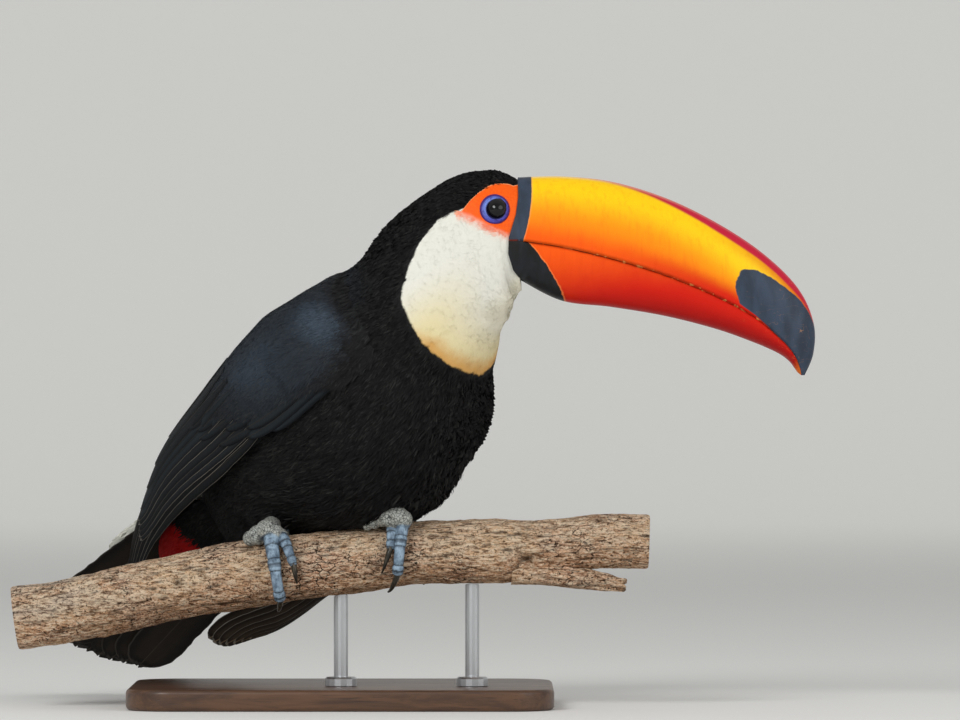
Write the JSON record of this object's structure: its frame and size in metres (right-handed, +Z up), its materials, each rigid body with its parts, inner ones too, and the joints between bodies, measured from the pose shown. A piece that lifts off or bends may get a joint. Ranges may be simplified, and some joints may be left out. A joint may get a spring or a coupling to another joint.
{
  "type": "toco toucan model on perch",
  "caption": "Life-size still model of a perched toco toucan with a great orange bill, gripping a cut length of branch held up by a plain display stand.",
  "frame": {"origin": "centre of the stand base's underside", "axes": "+Z up; +X along the bird's bill, the way it looks; -Y towards the bird's right side, the side it shows"},
  "size_m": [0.4529, 0.2509, 0.3021],
  "materials": {
    "black_plumage": "matt, close feathers",
    "mantle_plumage": "matt with a faint slate sheen",
    "white_plumage": "matt, fine hair-like feathers",
    "red_plumage": "matt, soft feathers",
    "orange_bill": "satin horn",
    "red_bill": "satin horn",
    "eye": "wet gloss",
    "foot_skin": "scaly",
    "claw": "satin horn",
    "bark": "rough bark",
    "broken_wood": "rough, weathered",
    "stand_wood": "satin varnish",
    "steel": "brushed"
  },
  "bodies": {
    "root": {"eye_right": "eye", "thigh_right": "black_plumage", "tarsus_right": "foot_skin", "wing_right": "mantle_plumage", "primaries_right": "black_plumage", "toe_right_1": "foot_skin", "claw_right_1": "claw", "toe_right_2": "foot_skin", "claw_right_2": "claw", "toe_right_3": "foot_skin", "claw_right_3": "claw", "toe_right_4": "foot_skin", "claw_right_4": "claw", "eye_left": "eye", "thigh_left": "black_plumage", "tarsus_left": "foot_skin", "wing_left": "mantle_plumage", "primaries_left": "black_plumage", "toe_left_1": "foot_skin", "claw_left_1": "claw", "toe_left_2": "foot_skin", "claw_left_2": "claw", "toe_left_3": "foot_skin", "claw_left_3": "claw", "toe_left_4": "foot_skin", "claw_left_4": "claw", "trunk": "black_plumage", "neck": "white_plumage", "head": "black_plumage", "tail": "black_plumage", "tail_coverts_upper": "white_plumage", "tail_coverts_under": "red_plumage", "upper_bill": "orange_bill", "lower_bill": "red_bill", "perch": "bark", "perch_stub": "broken_wood", "stand_base": "stand_wood", "stand_rod_1": "steel", "stand_rod_2": "steel"}
  },
  "joints": []
}
